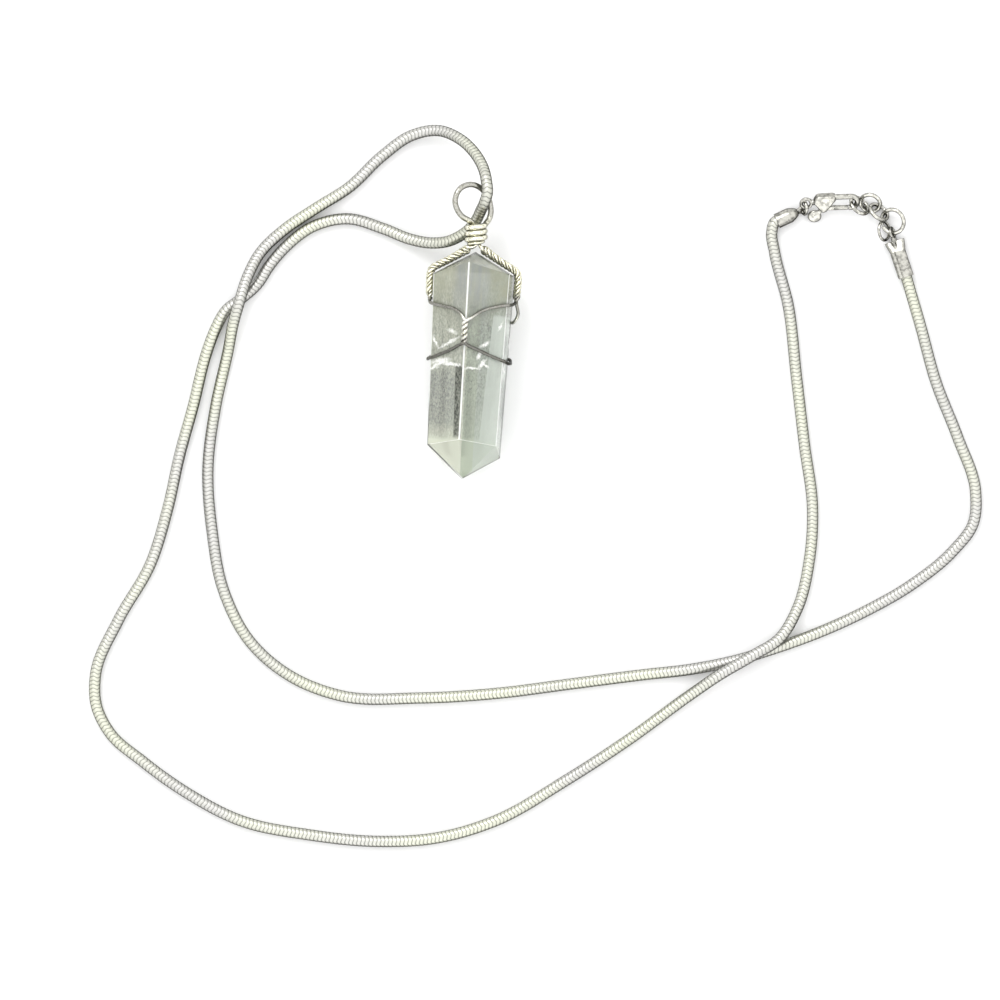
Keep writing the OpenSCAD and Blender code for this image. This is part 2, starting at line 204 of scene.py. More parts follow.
def tube(path, radius, sides, first, round_ends=True):
    """A round tube: at each point of the path a circle square to it. Rounded ends go
    on past the path by the radius times the sine of an angle, with the radius times
    its cosine, in five steps up to 82 degrees."""
    heading = directions(path)
    radii = np.full(len(path), radius)
    if round_ends:
        turn = np.radians([18, 36, 54, 70, 82])
        start = path[0] - radius * np.sin(turn[::-1])[:, None] * heading[0]
        end = path[-1] + radius * np.sin(turn)[:, None] * heading[-1]
        path = np.vstack([start, path, end])
        radii = np.concatenate([radius * np.cos(turn[::-1]), radii, radius * np.cos(turn)])
        heading = np.vstack([np.repeat(heading[:1], len(turn), 0), heading,
                             np.repeat(heading[-1:], len(turn), 0)])
    side = carried(heading, first)
    up = np.cross(heading, side)
    angle = np.linspace(0, 2 * np.pi, sides, endpoint=False)[None, :, None]
    ring = np.cos(angle) * side[:, None] + np.sin(angle) * up[:, None]
    return path[:, None] + radii[:, None, None] * ring


def ring_path(middle, tilt, toward, radius, opening, steps=72):
    """The centre line of a ring of wire: a circle that is tilted from lying flat and
    turned about the vertical, with an opening between its two ends."""
    angle = np.linspace(0, 2 * np.pi - opening, steps + 1)
    circle = radius * np.stack([np.cos(angle), np.sin(angle), 0 * angle], axis=1)
    return np.asarray(middle) + circle @ turn_y(tilt).T @ turn_z(toward).T


def turn_x(angle):
    """The matrix of a turn about the x axis."""
    cos, sin = np.cos(angle), np.sin(angle)
    return np.array([[1, 0, 0], [0, cos, -sin], [0, sin, cos]])


def turn_y(angle):
    """The matrix of a turn about the y axis."""
    cos, sin = np.cos(angle), np.sin(angle)
    return np.array([[cos, 0, sin], [0, 1, 0], [-sin, 0, cos]])


def turn_z(angle):
    """The matrix of a turn about the z axis."""
    cos, sin = np.cos(angle), np.sin(angle)
    return np.array([[cos, -sin, 0], [sin, cos, 0], [0, 0, 1]])


def grid_mesh(name, grid, pattern=None):
    """A mesh from a grid of points, one row for each place along a tube: quads between
    neighbours, the columns joined round and a flat cap at each end. The pattern is how
    far along and how far round each corner is, and becomes the mesh's UV map."""
    rows, cols = grid.shape[:2]
    along, round_it = np.mgrid[0:rows - 1, 0:cols]
    row = np.stack([along, along, along + 1, along + 1], axis=-1).reshape(-1)
    col = np.stack([round_it, round_it + 1, round_it + 1, round_it], axis=-1).reshape(-1)
    ends = [np.arange(cols - 1, -1, -1), np.arange(cols)]
    row = np.concatenate([row, 0 * ends[0], 0 * ends[1] + rows - 1])
    col = np.concatenate([col, *ends])
    sizes = np.concatenate([np.full((rows - 1) * cols, 4), [cols, cols]])
    mesh = bpy.data.meshes.new(name)
    mesh.vertices.add(rows * cols)
    mesh.vertices.foreach_set("co", grid.reshape(-1).astype(np.float32))
    mesh.loops.add(len(row))
    mesh.loops.foreach_set("vertex_index", (row * cols + col % cols).astype(np.int32))
    mesh.polygons.add(len(sizes))
    starts = np.concatenate([[0], np.cumsum(sizes)[:-1]])
    mesh.polygons.foreach_set("loop_start", starts.astype(np.int32))
    mesh.polygons.foreach_set("use_smooth", np.ones(len(sizes), dtype=bool))
    if pattern is not None:
        how_far, around = pattern
        places = np.stack([how_far[row], around * col / cols], axis=1).astype(np.float32)
        layer = mesh.uv_layers.new(name="pattern")
        layer.data.foreach_set("uv", places.reshape(-1))
    mesh.update(calc_edges=True)
    mesh.validate()
    return mesh


def mark_flanks(mesh):
    """Stores at each point how far the surface there turns to the side: 0 where it
    faces straight up or down, about 1 where it stands upright, and more towards the
    front right, away from the light, than towards the back left. The painted shade
    on the silver's flanks is read from it."""
    normals = np.empty(3 * len(mesh.vertices), dtype=np.float32)
    mesh.vertex_normals.foreach_get("vector", normals)
    x, y, z = normals.reshape(-1, 3).T
    flank = (1 - np.abs(z)) * (1 + 0.3 * (0.7 * x - 0.7 * y))
    stored = mesh.attributes.new("flank", "FLOAT", "POINT")
    stored.data.foreach_set("value", flank)


def piece(name, mesh, material, nodes, body=NECKLACE):
    """Puts a finished mesh into the scene as a piece that rides a body. It stands for
    the CAD nodes, if there are any."""
    mark_flanks(mesh)
    mesh.materials.append(material)
    made = bpy.data.objects.new(name, mesh)
    bpy.context.scene.collection.objects.link(made)
    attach(made, body)
    if nodes:
        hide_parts(*nodes)
    return made


class Link:
    """An output socket whose arithmetic adds Math nodes to its own material."""

    def __init__(self, finish, socket):
        self.finish = finish
        self.socket = socket

    def _math(self, operation, first, second):
        return self.finish.node("ShaderNodeMath", {"operation": operation}, {0: first, 1: second})

    def __add__(self, other):
        return self._math("ADD", self, other)

    def __sub__(self, other):
        return self._math("SUBTRACT", self, other)

    def __rsub__(self, other):
        return self._math("SUBTRACT", other, self)

    def __mul__(self, other):
        return self._math("MULTIPLY", self, other)

    def __pow__(self, other):
        return self._math("POWER", self, other)

    def math(self, operation):
        """One Math node on this socket alone, such as FRACT or ABSOLUTE."""
        return self._math(operation, self, 0.0)

    def beside(self, number):
        """Another output of the same node."""
        return Link(self.finish, self.socket.node.outputs[number])

    __radd__ = __add__
    __rmul__ = __mul__


class Finish:
    """A material or the sky, built from nodes, links and plain values."""

    def __init__(self, name, kind="materials"):
        self.material = getattr(bpy.data, kind).new(name)
        self.material.use_nodes = True
        self.tree = self.material.node_tree
        self.tree.nodes.clear()

    def node(self, kind, settings=None, inputs=None, output=0):
        """Adds a node, sets it up first, then gives its sockets their values or links."""
        made = self.tree.nodes.new(kind)
        for key, value in (settings or {}).items():
            if key == "stops":
                ramp = made.color_ramp.elements
                while len(ramp) < len(value):
                    ramp.new(0.5)
                for stop, (place, color) in zip(ramp, value):
                    stop.position = place
                    stop.color = color
            else:
                setattr(made, key, value)
        for key, value in (inputs or {}).items():
            if isinstance(value, Link):
                self.tree.links.new(value.socket, made.inputs[key])
            else:
                made.inputs[key].default_value = value
        return Link(self, made.outputs[output]) if made.outputs else made

    def place(self, scale):
        """The point on the object, in units of the given number of metres."""
        where = self.node("ShaderNodeTexCoord", output="Object")
        return self.node("ShaderNodeVectorMath", {"operation": "SCALE"},
                         {0: where, "Scale": 1 / scale})

    def parts(self, vector):
        """The three parts of a vector."""
        first = self.node("ShaderNodeSeparateXYZ", {}, {0: vector})
        return first, first.beside(1), first.beside(2)

    def noise(self, size, detail=3.0):
        """Cloudy noise from 0 to 1 whose patches are about one size wide, in metres."""
        return self.node("ShaderNodeTexNoise", {}, {
            "Vector": self.place(size), "Scale": 1.0, "Detail": detail, "Roughness": 0.55},
            output="Fac")

    def ramp(self, value, stops):
        """The colour that the stops give for the value."""
        return self.node("ShaderNodeValToRGB", {"stops": stops}, {"Fac": value}, "Color")

    def blend(self, factor, first, second):
        """The first colour where the factor is 0, the second where it is 1. The Mix
        node takes colours at its inputs 6 and 7."""
        return self.node("ShaderNodeMix", {"data_type": "RGBA"},
                         {0: factor, 6: first, 7: second}, 2)

    def vectors(self, operation, *values):
        """One step of vector maths, on places or on colours."""
        return self.node("ShaderNodeVectorMath", {"operation": operation},
                         dict(enumerate(values)))

    def rise(self, value, start, end):
        """0 where the value is at the start or before it, 1 from the end on."""
        return self.node("ShaderNodeMapRange", {}, {
            "Value": value, "From Min": start, "From Max": end})

    def paint_flank_shade(self, tone, left, start, end):
        """The tone, darker on the flanks with painted shade, and less so where they
        stand upright."""
        flank = self.node("ShaderNodeAttribute", {"attribute_name": "flank"}, output="Fac")
        dark = self.ramp(flank, [(start, (1, 1, 1, 1)), (end, opaque([left] * 3)),
                                 (1.0, (0.6, 0.6, 0.6, 1))])
        return self.vectors("MULTIPLY", tone, dark)

    def between(self, value, low, high, soft):
        """1 where the value lies between two limits, 0 from a soft margin outside them."""
        return self.rise(value, low - soft, low) * self.rise(value, high + soft, high)

    def in_pendant(self):
        """The point in the pendant's frame before its rise, in millimetres."""
        return self.node("ShaderNodeMapping", {"vector_type": "TEXTURE"}, {
            "Vector": self.place(MM), "Location": tuple(TIP / MM), "Rotation": (0, 0, -LEAN)})

    def spot(self, where, middle, turn, reach):
        """1 in the middle of an ellipse on the crystal's front, 0 from its rim outwards.
        The middle and the two reaches are in millimetres in the pendant's frame."""
        there = self.node("ShaderNodeMapping", {"vector_type": "TEXTURE"}, {
            "Vector": where, "Location": (*middle, 0), "Rotation": (0, 0, np.radians(turn)),
            "Scale": (*reach, 100)})
        return self.node("ShaderNodeTexGradient", {"gradient_type": "SPHERICAL"},
                         {"Vector": there}, "Fac")

    def bump(self, height, distance, strength):
        """The normals of a surface that rises with the height."""
        return self.node("ShaderNodeBump", {},
                         {"Height": height, "Distance": distance, "Strength": strength})

    def surface(self, **sockets):
        """The material's surface; underscores stand for the spaces in socket names."""
        named = {key.replace("_", " "): value for key, value in sockets.items()}
        shader = self.node("ShaderNodeBsdfPrincipled", {}, named, "BSDF")
        self.node("ShaderNodeOutputMaterial", {}, {"Surface": shader})
        return self.material


def opaque(color):
    """The colour with an alpha of 1."""
    return (*color, 1.0)


def shade(color, factor):
    """The colour made lighter or darker."""
    return opaque([min(1.0, part * factor) for part in color])


# How much the silver reflects where it is seen nearly edge-on
DULL_RIM = (0.3, 0.3, 0.3, 1)


def chain_finish(name, color):
    """Silver with painted shade in the grooves between its scales and on its flanks,
    yellowish and grey by turns. The pattern is the number of the rib along the chain,
    and the zigzag's four points round it."""
    finish = Finish(name)
    pattern = finish.node("ShaderNodeUVMap", {"uv_map": "pattern"})
    along, around, _ = finish.parts(pattern)
    zigzag = (around.math("FRACT") * 2.0 - 1.0).math("ABSOLUTE")
    across = ((along + RIB_SLANT * zigzag).math("FRACT") * 2.0 - 1.0).math("ABSOLUTE")
    groove = across ** 5.0
    patches = finish.noise(1.4 * MM)
    stretches = finish.ramp(finish.noise(16 * MM, 1.0), [
        (0.4, shade(color, 1.08)), (0.6, (0.66, 0.65, 0.64, 1))])
    tone = finish.blend(0.5 * patches, stretches, shade(color, 0.75))
    # Painted shade on the chain's flanks
    tone = finish.paint_flank_shade(tone, 0.08, 0.32, 0.64)
    return finish.surface(
        # Painted shade in the grooves between the ribs, which are also rougher
        Base_Color=finish.blend(groove * 0.9, tone, shade(color, 0.12)), Metallic=1.0,
        Roughness=0.3 + 0.15 * patches + 0.3 * groove, Specular_Tint=DULL_RIM)


def silver_finish(name, color, roughness, wear):
    """Cast or drawn silver with darker spots and painted shade on its flanks. Its gloss
    varies in patches, and its face is finely uneven."""
    finish = Finish(name)
    patches = finish.noise(1.6 * MM)
    fine = finish.noise(0.12 * MM, 2.0)
    tone = finish.ramp(finish.noise(0.5 * MM, 2.0), [
        (0.38, shade(color, 0.55)), (0.52, shade(color, 1.0)), (0.7, shade(color, 1.15))])
    return finish.surface(
        # Painted shade on the flanks
        Base_Color=finish.paint_flank_shade(tone, 0.1, 0.28, 0.62), Metallic=1.0,
        Roughness=roughness + wear * patches, Specular_Tint=DULL_RIM,
        Normal=finish.bump(fine, 0.01 * MM, 0.25))


def wire_finish(name, color, roughness, wear):
    """Silver wire whose tone is painted light by height: painted shade, grey, over the
    crystal's front, painted light, bright and yellowish, in the ropes and the neck,
    painted shade, grey again, on the bail; with fine darker spots and painted shade on
    its flanks. The ramp runs from 14 to 39 mm up the view."""
    finish = Finish(name)
    _, up, _ = finish.parts(finish.place(MM))
    # Painted light and shade by height: one silver made darker or brighter where it lies
    tone = finish.ramp(finish.rise(up, 14.0, 39.0), [
        (0.14, shade(color, 0.3)), (0.18, shade(color, 1.3)), (0.26, shade(color, 1.3)),
        (0.29, shade(color, 0.5)), (0.36, shade(color, 0.5)), (0.40, opaque((1.0, 0.98, 0.80))),
        (0.72, opaque((1.0, 0.98, 0.82))), (0.77, shade(color, 0.7))])
    mottle = finish.ramp(finish.noise(0.25 * MM, 2.0), [
        (0.36, (0.66, 0.66, 0.6, 1)), (0.5, (1, 1, 1, 1))])
    # Fine darker spots, then painted shade on the flanks
    tone = finish.paint_flank_shade(finish.vectors("MULTIPLY", tone, mottle), 0.6, 0.36, 0.7)
    patches = finish.noise(1.6 * MM)
    return finish.surface(
        Base_Color=tone, Metallic=1.0,
        Roughness=roughness + wear * patches, Specular_Tint=DULL_RIM)


# White fractures inside the crystal: middle, turn in degrees and the two reaches of
# an ellipse, in the pendant's frame in millimetres
FRACTURES = (
    (-2.6, 16.6, 31, 1.9, 0.24), (-4.2, 16.6, -60, 1.1, 0.2), (-2.3, 17.95, -14, 0.85, 0.36),
    (-3.5, 14.4, 10, 1.6, 0.5), (-2.2, 14.0, -6, 1.8, 0.3), (-4.2, 13.6, 30, 1.0, 0.35),
    (0.4, 13.65, 2, 1.4, 0.22), (1.6, 14.3, 50, 1.0, 0.34), (1.75, 16.6, 30, 1.0, 0.26),
    (1.2, 15.2, 70, 0.9, 0.24), (2.0, 14.1, -40, 0.8, 0.2), (4.3, 13.4, 88, 1.2, 0.14),
    (4.85, 17.2, 85, 1.2, 0.15), (3.6, 18.9, 75, 0.8, 0.12))


def quartz_finish(name, tint):
    """Clear quartz, hazy inside: fine speckles and streaks along its length, white
    fractures round its middle, and a greenish veil that thickens towards the upper
    end, greyer along the front edge. Painted light and shade go over it: facets lit
    lighter or darker, painted shade in the body, a painted dark reflection as a
    speckled band beside the front edge, a pale facet of painted light on the right, a
    greyer one of painted shade beside it with two dark streaks, a shady patch at the
    lower left, and a painted dark outline at the right and round both ends."""
    finish = Finish(name)
    place = finish.in_pendant()
    across, up, _ = finish.parts(place)

    def stretched(scale, detail, output="Fac"):
        there = finish.node("ShaderNodeMapping", {}, {"Vector": place, "Scale": scale})
        return finish.node("ShaderNodeTexNoise", {}, {
            "Vector": there, "Scale": 1.0, "Detail": detail, "Roughness": 0.7}, output)

    def facing(lean, low, high, soft):
        """1 between two limits across the crystal, which lean by so much for each mm up."""
        return finish.between(across + lean * up, low, high, soft)

    def height(low, high, soft):
        """1 between two limits up the crystal."""
        return finish.between(up, low, high, soft)

    streaks = finish.rise(stretched((1.7, 0.07, 1.7), 5.0), 0.35, 0.65)
    grain = finish.rise(stretched((5.5, 2.6, 5.5), 2.0), 0.38, 0.62)
    clouds = finish.rise(stretched((0.45, 0.3, 0.45), 4.0), 0.35, 0.65)
    wander = stretched((1.3, 1.3, 1.3), 3.0, "Color")
    wander = finish.vectors("MULTIPLY_ADD", wander, (0.9, 0.9, 0), place)
    wander = finish.vectors("SUBTRACT", wander, (0.45, 0.45, 0))
    crack = sum(finish.spot(wander, (x, y), turn, reach) for x, y, turn, *reach in FRACTURES)
    crack = finish.rise(crack * (0.55 + 0.9 * grain), 0.05, 0.75)
    # Masks over the crystal's front: limits across it and up it, in millimetres
    body = finish.rise(up, 4.7, 5.2) * (0.38 + 0.22 * height(13.0, 21.5, 7.0))
    veil = finish.rise(up, 18.5, 23.0)
    shady = facing(0.028, -4.6, -1.5, 0.5) * height(7.0, 12.5, 1.5)
    misty = finish.between(across, -1.9, 1.5, 0.8) * veil
    band = facing(0.028, -1.2, -0.38, 0.1) * height(5.3, 13.9, 0.4)
    pale = facing(-0.055, 1.6, 9.0, 0.12) * height(4.9, 20.0, 0.4)
    side = finish.rise(across - 0.0187 * up, 3.9, 4.0) * finish.rise(up, 4.5, 6.5)
    # Painted shade: two dark streaks in the side facet
    core = (finish.between(across, 4.2, 4.45, 0.15) * height(8.0, 11.4, 1.5)
            + finish.between(across, 4.3, 4.45, 0.15) * height(16.0, 17.4, 1.0))
    core = core * (0.3 + 0.7 * streaks)
    # Painted dark outline at the right and round both ends
    rim = (finish.rise(across - 0.0235 * up, 4.2, 4.28)
           + finish.rise(0.6 * across - up, -0.35, -0.2)
           + finish.rise(up + 0.56 * across.math("ABSOLUTE"), 27.5, 27.7))
    # Painted light: the facets lighter or darker across the crystal as they are lit, with its
    # greenish tint
    lit_facets = finish.ramp(across * (1 / 12) + 0.5, [
        (0.470, (0.88, 0.91, 0.75, 1)), (0.475, (0.58, 0.65, 0.51, 1)),
        (0.590, (0.60, 0.67, 0.53, 1)), (0.600, (0.64, 0.71, 0.61, 1))])
    # Painted shade in the body, broken up by the streaks and the grain
    tone = finish.blend(body * (0.25 + 0.4 * streaks + 0.6 * grain), lit_facets, (0.12, 0.125, 0.12, 1))
    # Painted shade on the side facet at the right, seen nearly edge-on
    tone = finish.blend(side * (0.5 + 0.4 * streaks), tone, (0.12, 0.13, 0.13, 1))
    tone = finish.blend(shady * (0.35 + 0.3 * grain), tone, (0.22, 0.23, 0.235, 1))
    tone = finish.blend(veil * (0.35 + 0.6 * clouds), tone, (0.40, 0.41, 0.30, 1))
    tone = finish.blend(misty * (0.3 + 0.6 * streaks), tone, (0.34, 0.36, 0.36, 1))
    # Painted light on the pale facet at the right
    tone = finish.blend(pale * (0.95 - 0.25 * streaks), tone, (0.70, 0.76, 0.69, 1))
    # Painted dark reflection: a speckled band beside the front edge
    tone = finish.blend(band * (1.0 - 0.45 * grain), tone, (0.015, 0.017, 0.015, 1))
    # Painted shade of the streaks and the painted dark outline
    tone = finish.blend(core * 0.85 + rim * 0.8, tone, (0.03, 0.035, 0.03, 1))
    tone = finish.blend(crack, tone, (1.0, 1.0, 0.97, 1))
    bump = finish.bump(streaks, 0.03 * MM, 0.3)
    clear = finish.node("ShaderNodeBsdfPrincipled", {}, {
        "Base Color": finish.blend(streaks, opaque(tint), shade(tint, 0.9)),
        "Roughness": 0.01 + 0.1 * veil, "IOR": 1.54, "Transmission Weight": 1.0,
        "Normal": bump}, "BSDF")
    milky = finish.node("ShaderNodeBsdfPrincipled", {}, {
        "Base Color": tone, "Roughness": 0.18, "IOR": 1.54, "Transmission Weight": 0.15,
        "Specular IOR Level": 0.15, "Normal": bump}, "BSDF")
    haze = 0.55 + 0.12 * veil + 0.3 * side + 0.3 * band + 0.3 * crack + 0.2 * rim + 0.35 * core
    whole = finish.node("ShaderNodeMixShader", {}, {0: haze, 1: clear, 2: milky})
    finish.node("ShaderNodeOutputMaterial", {}, {"Surface": whole})
    return finish.material


def edge_finish(name):
    """The crystal's worn edges: frosted, and painted white for the light they catch, so
    they show as white lines. The outermost edges get painted shade, so they show dark
    against a white floor."""
    finish = Finish(name)
    across, _, height = finish.parts(finish.in_pendant())
    # 1 on the outermost edges, which get the painted dark outline
    outer = finish.rise(height - 0.6 * across.math("ABSOLUTE"), 0.05, -0.05)
    rubbed = finish.noise(0.5 * MM)
    # Frosted white, which also paints in the light that the edges catch
    white = finish.blend(rubbed, (0.97, 0.97, 0.95, 1), (0.8, 0.82, 0.8, 1))
    # The painted shade of the outermost edges
    dark = finish.blend(rubbed, (0.05, 0.055, 0.05, 1), (0.18, 0.19, 0.18, 1))
    return finish.surface(
        Base_Color=finish.blend(outer, white, dark), Roughness=0.35 + 0.2 * rubbed, IOR=1.54,
        Transmission_Weight=0.2)


class NECKLACE_OT_chain(bpy.types.Operator):
    """Make the ribbed snake chain in two halves that meet on the bail"""
    bl_idname = "necklace.chain"
    bl_label = "Snake Chain"

    def execute(self, context):
        sizes = context.scene.necklace_chain
        silver = chain_finish("chain_silver", sizes.color)
        curve = smooth(ROUTE, ROUTE_STEPS)
        run = lengths(curve)
        meet = MEET * ROUTE_STEPS
        for node, first, last in (("chain_outer", 0, meet), ("chain_inner", meet, -1)):
            grid, pattern = snake_chain(curve, run, run[first], run[last], sizes)
            mesh = grid_mesh("snake_" + node, grid, pattern)
            piece("snake_" + node, mesh, silver, [node])
        return {"FINISHED"}


def snake_chain(curve, run, start, end, sizes):
    """The chain's scales: the radius falls from a rib's crown to its groove with the
    sixth power of the place across the rib, from -1 to 1. The place across is the
    length along the chain over the pitch, plus a zigzag with four points round the
    chain. The chain turns slowly about its own line, by two sines of the length."""
    at = np.linspace(start, end, round((end - start) / (sizes.pitch / RIB_ROWS)) + 1)
    path = np.stack([np.interp(at, run, axis) for axis in curve.T], axis=1)
    heading = unit(np.gradient(path, axis=0))
    up = square_to(np.broadcast_to([0.0, 0.0, 1.0], path.shape), heading)
    roll = sum(reach * np.sin(at / length) for reach, length in ROLLS)
    up = np.cos(roll)[:, None] * up + np.sin(roll)[:, None] * np.cross(heading, up)
    side = np.cross(heading, up)
    angle = np.linspace(0, 2 * np.pi, CHAIN_SIDES, endpoint=False)[None, :]
    zigzag = np.abs(angle * 2 / np.pi % 1 * 2 - 1)
    across = (at[:, None] / sizes.pitch + RIB_SLANT * zigzag) % 1 * 2 - 1
    radius = sizes.diameter / 2 - sizes.groove * across ** 6
    ring = np.cos(angle)[..., None] * up[:, None] + np.sin(angle)[..., None] * side[:, None]
    return path[:, None] + radius[..., None] * ring, (at / sizes.pitch, 4)


def in_pendant(points):
    """From the pendant's own frame, in millimetres, to the scene's."""
    turn = turn_z(-LEAN) @ turn_x(RISE)
    return TIP + MM * np.asarray(points) @ turn.T


# The crystal in the pendant's own frame, in millimetres: x across, y up the
# crystal, z towards the viewer. Each edge has its lower and its upper end.
EDGE_TURN = -7.5
EDGE_ENDS = ((5.3, 27.1), (4.6, 25.7), (2.7, 25.1), (2.2, 25.5), (2.9, 25.3), (4.2, 25.2))
POINT_LENGTH = 28
RADIUS_LOW, RADIUS_TOP = 4.9, 5.42
TAPER_FROM, TAPER_TO = 4.0, 25.4
# How worn the edges between two corners are; the others are sharp. Corners 0 to 5 are
# the edges' lower ends, 6 to 11 their upper ends, and 12 is the lower tip.
WORN = {(0, 6): 0.4, (0, 5): 0.08, (0, 1): 0.08, (1, 7): 0.2,
        (5, 11): 0.5, (2, 8): 0.5, (5, 12): 1.0, (2, 12): 1.0}


def mix(start, end, part):
    """The value that lies a part of the way from the start to the end."""
    return start + part * (end - start)


def edge_angle(edge):
    """How far the edge lies round the crystal's axis from the viewer's side: a sixth of
    a turn for each edge."""
    return np.radians(EDGE_TURN + 60 * edge)


def out(angle):
    """The direction out of the crystal's axis at an angle from the viewer's side: its
    sine across and its cosine towards the viewer."""
    return np.array([np.sin(angle), 0, np.cos(angle)])


def on_edge(edge, height):
    """The places on one of the crystal's edges at one height or at several. The
    distance from the axis grows evenly with the height."""
    height = np.asarray(height)[..., None]
    radius = mix(RADIUS_LOW, RADIUS_TOP, (height - TAPER_FROM) / (TAPER_TO - TAPER_FROM))
    return radius * out(edge_angle(edge)) + height * np.array([0, 1, 0])


class NECKLACE_OT_crystal(bpy.types.Operator):
    """Make the double-pointed quartz crystal"""
    bl_idname = "necklace.crystal"
    bl_label = "Quartz Point"

    def execute(self, context):
        sizes = context.scene.necklace_crystal
        low = [on_edge(edge, ends[0]) for edge, ends in enumerate(EDGE_ENDS)]
        high = [on_edge(edge, ends[1]) for edge, ends in enumerate(EDGE_ENDS)]
        corners = in_pendant(low + high + [(0, 0, 0), (0, POINT_LENGTH, 0)])
        faces = []
        for here in range(6):
            beside = (here + 1) % 6
            faces += [(here, beside, 6 + beside, 6 + here), (12, beside, here),
                      (13, 6 + here, 6 + beside)]
        mesh = bpy.data.meshes.new("quartz_crystal")
        mesh.from_pydata(corners.tolist(), [], faces)
        mesh.update()
        made = piece("quartz_crystal", mesh, quartz_finish("quartz", sizes.tint),
                     ["quartz_point"])
        mesh.materials.append(edge_finish("quartz_edge"))
        weights = mesh.attributes.new("bevel_weight_edge", "FLOAT", "EDGE").data
        for edge in mesh.edges:
            weights[edge.index].value = WORN.get(tuple(sorted(edge.vertices)), 0.0)
        bevel = made.modifiers.new("worn edges", "BEVEL")
        bevel.limit_method = "WEIGHT"
        bevel.width = sizes.edge
        bevel.segments = 2
        bevel.material = 1
        return {"FINISHED"}


# The wires in the pendant's own frame, in millimetres. Their centre lines keep this
# distance from the crystal.
WIRE_OFF = 0.25
# Steps of a coil to each turn, and sides of a wire
TURN_STEPS = 14
WIRE_SIDES = 14
# Where the neck's own frame stands, the coil round it (radius, top, pitch and turns),
# and how far the bail's loop leans
NECK_Y = 28.9
NECK_RADIUS, NECK_TOP, NECK_PITCH, NECK_TURNS = 1.08, 2.38, 0.72, 2.75
LOOP_LEAN = np.radians(28)
# The centre line of the left rope, from the neck down the crystal. The rope is wider
# near the neck, by its fan, which ends that far along it.
ROPE = np.array([
    (-0.75, 28.48, 0.05), (-1.35, 28.07, 0.1), (-2.5, 27.33, 0.25), (-3.65, 26.64, 0.4),
    (-4.5, 26.17, 0.5), (-5.12, 25.76, 0.5), (-5.38, 25.05, 0.5), (-5.38, 24.2, 0.5),
    (-5.34, 23.2, 0.5), (-5.3, 22.3, 0.5)])
ROPE_TURNS = 4
ROPE_RADIUS, ROPE_FAN, ROPE_FAN_TO = 0.28, 0.16, 3.2
# Two finer strands fill each rope: thickness, how far they lie further out than the
# cage's wires, and how many of the rope's points they leave out at each end
FILL_THICKNESS, FILL_LIFT = 0.2, 0.11
FILL_FROM, FILL_TO = 2, 3
# The binding under the neck's coil: radius, turn in degrees, and the heights of its ends
BINDING_RADIUS, BINDING_TURN = 0.91, 195
BINDING_FROM, BINDING_TO = 0.4, 0.03
# The twist on the front and back edges: its two ends, radius and turns
TWIST_TOP, TWIST_LOW, TWIST_RADIUS, TWIST_TURNS = 19.9, 17.2, 0.23, 2
# The wires' ends inside the neck's coil: distance from its axis, and heights
BUNDLE_RADIUS = 0.49
BUNDLE_HEIGHTS = (1.95, 0.9, 0)


def in_neck(points):
    """From the neck's frame, which points up in the view, to the pendant's."""
    turned = np.asarray(points) @ turn_z(LEAN).T
    return turned + np.array([0, NECK_Y, 0])


def in_loop(x, y):
    """A place on the bail's loop, which leans about the neck's axis: it goes back by
    the place across times the tangent of the lean."""
    return (x, y, -x * np.tan(LOOP_LEAN))


def bail_path():
    """Up beside the neck, round the loop and down again in a coil round the neck, which
    sinks by its pitch at each turn."""
    loop = [(-0.34, 0.3, 0), (-0.34, 1.2, 0), (-0.34, 2.0, 0), (-0.48, 2.6, 0.08),
            in_loop(-0.93, 3.02), in_loop(-1.55, 3.4), in_loop(-2.15, 4.1),
            in_loop(-2.54, 5.5), in_loop(-2.0, 6.85), in_loop(-0.75, 7.38),
            in_loop(0.5, 6.95), in_loop(1.35, 5.9), in_loop(1.76, 4.7),
            in_loop(1.78, 3.7), (1.58, 3.05, -0.8), (1.25, 2.62, -0.42)]
    turns = np.arange(int(TURN_STEPS * NECK_TURNS) + 1) / TURN_STEPS
    angle = 2 * np.pi * turns
    coil = np.stack([NECK_RADIUS * np.cos(angle), NECK_TOP - NECK_PITCH * turns,
                     NECK_RADIUS * np.sin(angle)], axis=1)
    whole = np.vstack([smooth(np.array(loop), steps=3), coil])
    return in_pendant(in_neck(smooth(whole, steps=4)))


def binding_path():
    """A little over half a turn of thin wire under the neck's coil, over the bundle's
    front: an arc whose height falls evenly with the angle."""
    angle = np.radians(np.linspace(0, BINDING_TURN, 17))
    height = mix(BINDING_FROM, BINDING_TO, angle / angle[-1])
    path = np.stack([BINDING_RADIUS * np.cos(angle), height,
                     BINDING_RADIUS * np.sin(angle)], axis=1)
    return in_pendant(in_neck(smooth(path, steps=2)))


def strand(phase, lift=0.0):
    """One of the strands of the rope at the crystal's side: a helix round the rope's
    centre line, wider near the neck."""
    line = smooth(ROPE, steps=5)
    heading = directions(line)
    run = lengths(line)
    angle = (phase + 2 * np.pi * ROPE_TURNS * run / run[-1])[:, None]
    side = square_to(np.broadcast_to([0.0, 0.0, 1.0], line.shape), heading)
    radius = ROPE_RADIUS + lift + ROPE_FAN * np.maximum(0, 1 - run / ROPE_FAN_TO)[:, None] ** 2
    return line + radius * (np.cos(angle) * side + np.sin(angle) * np.cross(heading, side))


def round_edge(edge, height, step):
    """Three places on an arc round one of the crystal's edges."""
    return [on_edge(edge, height + step * side)
            + WIRE_OFF * out(edge_angle(edge) + np.radians(30 * side)) for side in (-1, 0, 1)]


